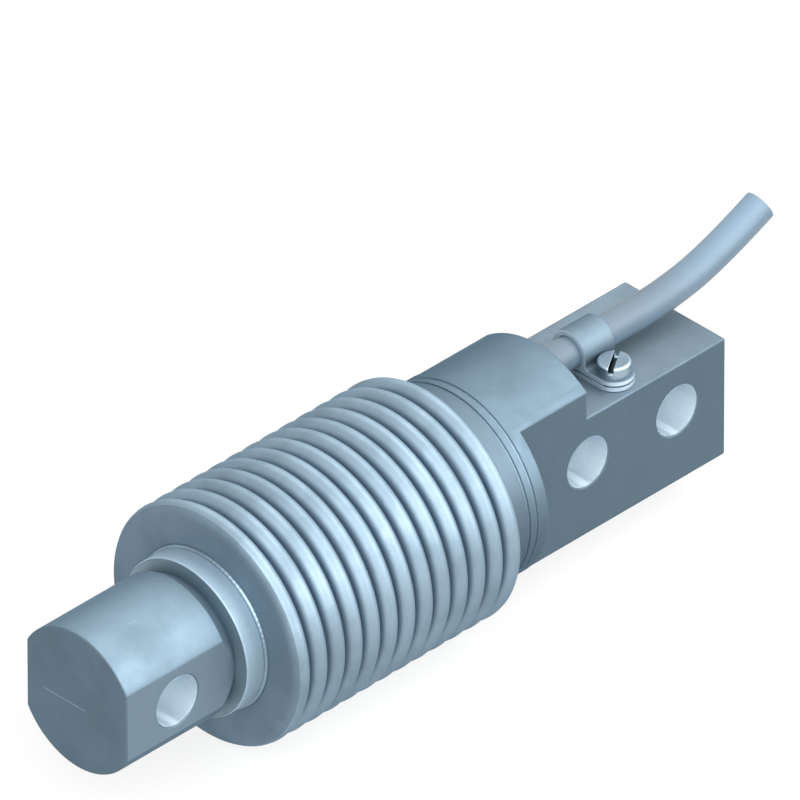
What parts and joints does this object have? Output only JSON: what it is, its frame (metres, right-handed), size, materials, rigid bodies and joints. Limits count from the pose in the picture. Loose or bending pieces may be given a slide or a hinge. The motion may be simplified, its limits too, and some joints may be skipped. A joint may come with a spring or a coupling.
{
  "type": "strain gauge load cell",
  "caption": "Bending-beam load cell: steel body with cross bores and side flats, its measuring beam sealed by a welded bellows, with a clipped cable in a recess.",
  "frame": {"origin": "midway between the two clamping bores, on the axis of the body", "axes": "+X along the body towards the clamping end, so the load end points to -X; +Y along the load direction, through the cross bores; +Z out of the recess that carries the cable"},
  "size_m": [0.1378, 0.038, 0.0388],
  "materials": {
    "body_steel": "fine turned and milled stainless steel with a cool blue-grey tone",
    "bellows_steel": "smooth formed stainless steel sheet, cool blue-grey tone",
    "cable_jacket": "smooth blue-grey polyurethane jacket",
    "clip_steel": "cut and bent stainless strip with bright edges",
    "screw_steel": "turned stainless steel, slightly bright",
    "seal_rubber": "black sealing rubber",
    "gland_metal": "pressed steel ring",
    "gauge_film": "amber film carrier",
    "board_laminate": "glass fibre laminate",
    "terminal_metal": "tinned brass posts",
    "lead_wire": "fine lacquered copper wire",
    "resistor_ceramic": "black chip body",
    "core_red": "core insulation",
    "core_black": "core insulation",
    "core_blue": "core insulation",
    "core_green": "core insulation",
    "core_grey": "core insulation",
    "core_white": "core insulation"
  },
  "bodies": {
    "root": {"measuring_body": "body_steel", "bellows": "bellows_steel", "terminal_board": "board_laminate", "solder_terminals": "terminal_metal", "gauge_leads": "lead_wire", "cable": "cable_jacket", "cable_seal": "seal_rubber", "gland_ring": "gland_metal", "cable_clip": "clip_steel", "clip_screw": "screw_steel", "strain_gauge_1": "gauge_film", "strain_gauge_2": "gauge_film", "strain_gauge_3": "gauge_film", "strain_gauge_4": "gauge_film", "board_screw_1": "screw_steel", "board_screw_2": "screw_steel", "trim_resistor_1": "resistor_ceramic", "trim_resistor_2": "resistor_ceramic", "trim_resistor_3": "resistor_ceramic", "cable_core_red": "core_red", "cable_core_black": "core_black", "cable_core_blue": "core_blue", "cable_core_green": "core_green", "cable_core_grey": "core_grey", "cable_core_white": "core_white"}
  },
  "joints": []
}
